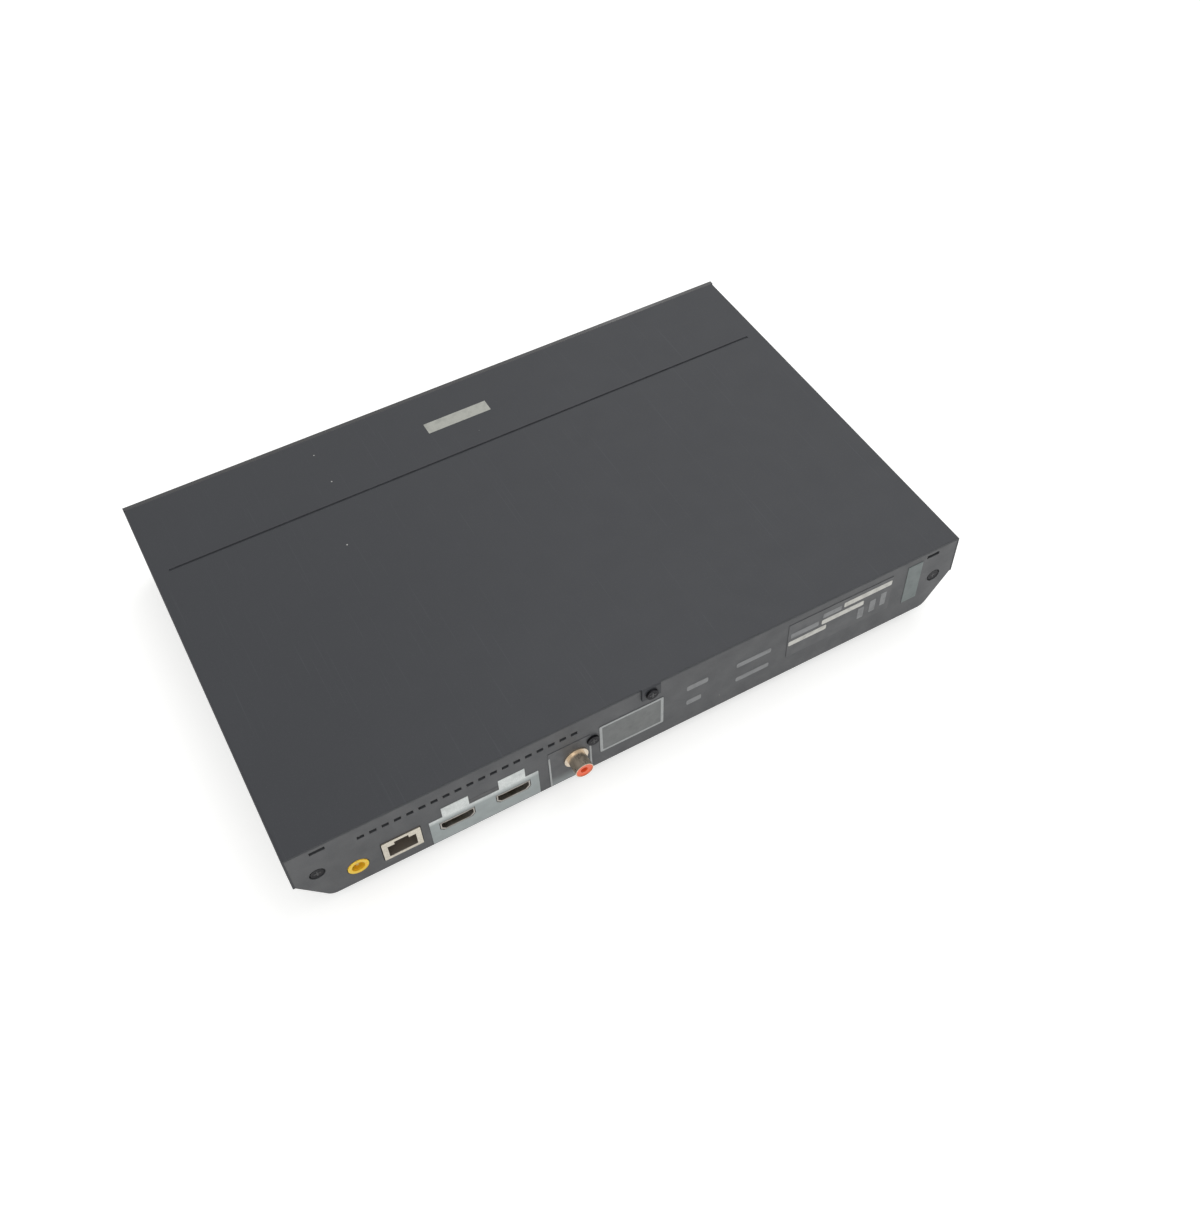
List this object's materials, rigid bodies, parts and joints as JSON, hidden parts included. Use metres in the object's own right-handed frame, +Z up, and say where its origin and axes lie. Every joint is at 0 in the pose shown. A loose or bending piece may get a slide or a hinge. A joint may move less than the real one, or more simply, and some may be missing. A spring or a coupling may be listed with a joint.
{
  "type": "disc player",
  "caption": "Slim disc player with a motor-driven tray, tilting traverse, spindle, pickup sled, front buttons and a rear panel with network, video, coaxial and power sockets.",
  "frame": {"origin": "centre of the overall footprint, at the level of the surface that the feet stand on", "axes": "+X to the right seen from the front, -Y out of the front with the tray, +Y out of the rear with the sockets, +Z up"},
  "size_m": [0.32, 0.217, 0.045],
  "materials": {
    "cover_paint": "matt textured dark grey paint",
    "chassis_paint": "matt dark grey paint",
    "front_plastic": "dark moulded plastic, fine satin front",
    "rear_plastic": "moulded dark grey plastic, fine texture",
    "badge_plastic": "satin pale grey",
    "field_print": "printed grey field, matt",
    "label_print": "printed label, satin",
    "rubber": "soft black rubber",
    "screw_steel": "zinc plated",
    "screw_black": "black oxide screws",
    "socket_black": "black moulded plastic",
    "socket_steel": "nickel plated",
    "yellow_plastic": "yellow moulded plastic",
    "orange_plastic": "orange moulded plastic",
    "board_green": "solder mask green",
    "chip_black": "moulded chip case",
    "sink_aluminium": "anodised",
    "can_sleeve": "shrink sleeve",
    "shield_steel": "tin plated",
    "cable_white": "flat cable jacket",
    "loader_black": "black moulded plastic",
    "gear_ivory": "natural acetal",
    "motor_steel": "drawn can",
    "magnet": "sintered magnet",
    "bridge_steel": "plated sheet",
    "rod_steel": "ground steel",
    "sled_metal": "die cast",
    "lens_glass": "coated lens",
    "window_plastic": "dark red tinted window",
    "light_clear": "clear light guide"
  },
  "bodies": {
    "root": {"top_cover": "cover_paint", "badge_bar": "badge_plastic", "bottom_chassis": "chassis_paint", "rubber_feet": "rubber", "rear_panel": "rear_plastic", "front_panel": "front_plastic", "rear_screws": "screw_black", "video_field": "field_print", "coax_field": "field_print", "blank_label": "label_print", "rating_labels": "label_print", "sensor_window": "window_plastic", "light_pipe": "light_clear", "switch_bodies": "socket_black", "front_board": "board_green", "usb_socket": "socket_steel", "network_jack": "socket_black", "video_socket_left": "socket_steel", "video_socket_right": "socket_steel", "coax_block": "socket_black", "coax_sleeve": "socket_steel", "coax_insert": "orange_plastic", "power_jack": "socket_black", "power_insert": "yellow_plastic", "power_centre_pin": "socket_steel", "main_board": "board_green", "heat_sink": "sink_aluminium", "board_chips": "chip_black", "capacitors": "can_sleeve", "radio_module": "shield_steel", "cable_sockets": "cable_white", "front_flat_cable": "cable_white", "drive_flat_cable": "cable_white", "drive_board": "board_green", "inner_screws": "screw_steel", "loader_chassis": "loader_black", "loader_dampers": "rubber", "clamp_bridge": "bridge_steel", "loading_motor": "motor_steel", "drive_belt": "rubber"},
    "tray": {"disc_tray": "loader_black", "tray_door": "front_plastic"},
    "drive_gear": {"drive_gear": "gear_ivory"},
    "pulley_gear": {"pulley_gear": "gear_ivory"},
    "motor_pulley": {"motor_pulley": "gear_ivory"},
    "cam_slider": {"cam_slider": "gear_ivory"},
    "traverse": {"traverse_frame": "loader_black", "spindle_motor": "motor_steel", "guide_rods": "rod_steel", "sled_motor": "motor_steel"},
    "turntable": {"turntable": "socket_black"},
    "clamper": {"clamper": "loader_black", "clamp_magnet": "magnet"},
    "sled": {"pickup_sled": "sled_metal"},
    "lens": {"lens_holder": "lens_glass"},
    "lead_screw": {"lead_screw": "rod_steel"},
    "power_button": {"power_button": "front_plastic", "power_plunger": "socket_black"},
    "eject_button": {"eject_button": "front_plastic", "eject_plunger": "socket_black"}
  },
  "joints": [
    {"name": "tray_slide", "type": "slide", "parent": "root", "child": "tray", "axis": [0, -1, 0], "range_m": [0, 0.135]},
    {"name": "drive_gear_turn", "type": "hinge", "parent": "root", "child": "drive_gear", "pos_m": [-0.03, -0.086, 0.025], "axis": [0, 0, 1], "range_deg": [-774, 0]},
    {"name": "pulley_gear_turn", "type": "hinge", "parent": "root", "child": "pulley_gear", "pos_m": [-0.046, -0.086, 0.022], "axis": [0, 0, 1], "range_deg": [0, 1290]},
    {"name": "motor_pulley_turn", "type": "hinge", "parent": "root", "child": "motor_pulley", "pos_m": [-0.095, -0.086, 0.02], "axis": [0, 0, 1], "range_deg": [0, 3590]},
    {"name": "cam_slide", "type": "slide", "parent": "root", "child": "cam_slider", "axis": [1, 0, 0], "range_m": [0, 0.014]},
    {"name": "traverse_tilt", "type": "hinge", "parent": "root", "child": "traverse", "pos_m": [-0.072, 0.0597, 0.019], "axis": [1, 0, 0], "range_deg": [0, 2.87]},
    {"name": "turntable_spin", "type": "hinge", "parent": "traverse", "child": "turntable", "pos_m": [-0.072, -0.0383, 0.03], "axis": [0, 0, 1], "continuous": true},
    {"name": "clamper_spin", "type": "hinge", "parent": "root", "child": "clamper", "pos_m": [-0.072, -0.0383, 0.037], "axis": [0, 0, 1], "continuous": true},
    {"name": "sled_slide", "type": "slide", "parent": "traverse", "child": "sled", "axis": [0, 1, 0], "range_m": [0, 0.035]},
    {"name": "lead_screw_turn", "type": "hinge", "parent": "traverse", "child": "lead_screw", "pos_m": [-0.052, -0.0253, 0.014], "axis": [0, 1, 0], "range_deg": [-4201, 0]},
    {"name": "lens_focus", "type": "slide", "parent": "sled", "child": "lens", "axis": [0, 0, 1], "range_m": [-0.0006, 0.0006], "stiffness_N_per_m": 60},
    {"name": "power_press", "type": "slide", "parent": "root", "child": "power_button", "axis": [0, 1, 0], "range_m": [0, 0.0005], "stiffness_N_per_m": 400, "springref_m": -0.002},
    {"name": "eject_press", "type": "slide", "parent": "root", "child": "eject_button", "axis": [0, 1, 0], "range_m": [0, 0.0005], "stiffness_N_per_m": 400, "springref_m": -0.002}
  ],
  "couplings": [
    {"joint": "drive_gear_turn", "follows": "tray_slide", "rad_per_m": -100},
    {"joint": "pulley_gear_turn", "follows": "tray_slide", "rad_per_m": 166.67},
    {"joint": "motor_pulley_turn", "follows": "tray_slide", "rad_per_m": 463.6},
    {"joint": "traverse_tilt", "follows": "cam_slide", "rad_per_m": 3.5729},
    {"joint": "clamper_spin", "follows": "turntable_spin", "ratio": 1},
    {"joint": "lead_screw_turn", "follows": "sled_slide", "rad_per_m": -2094.4}
  ]
}
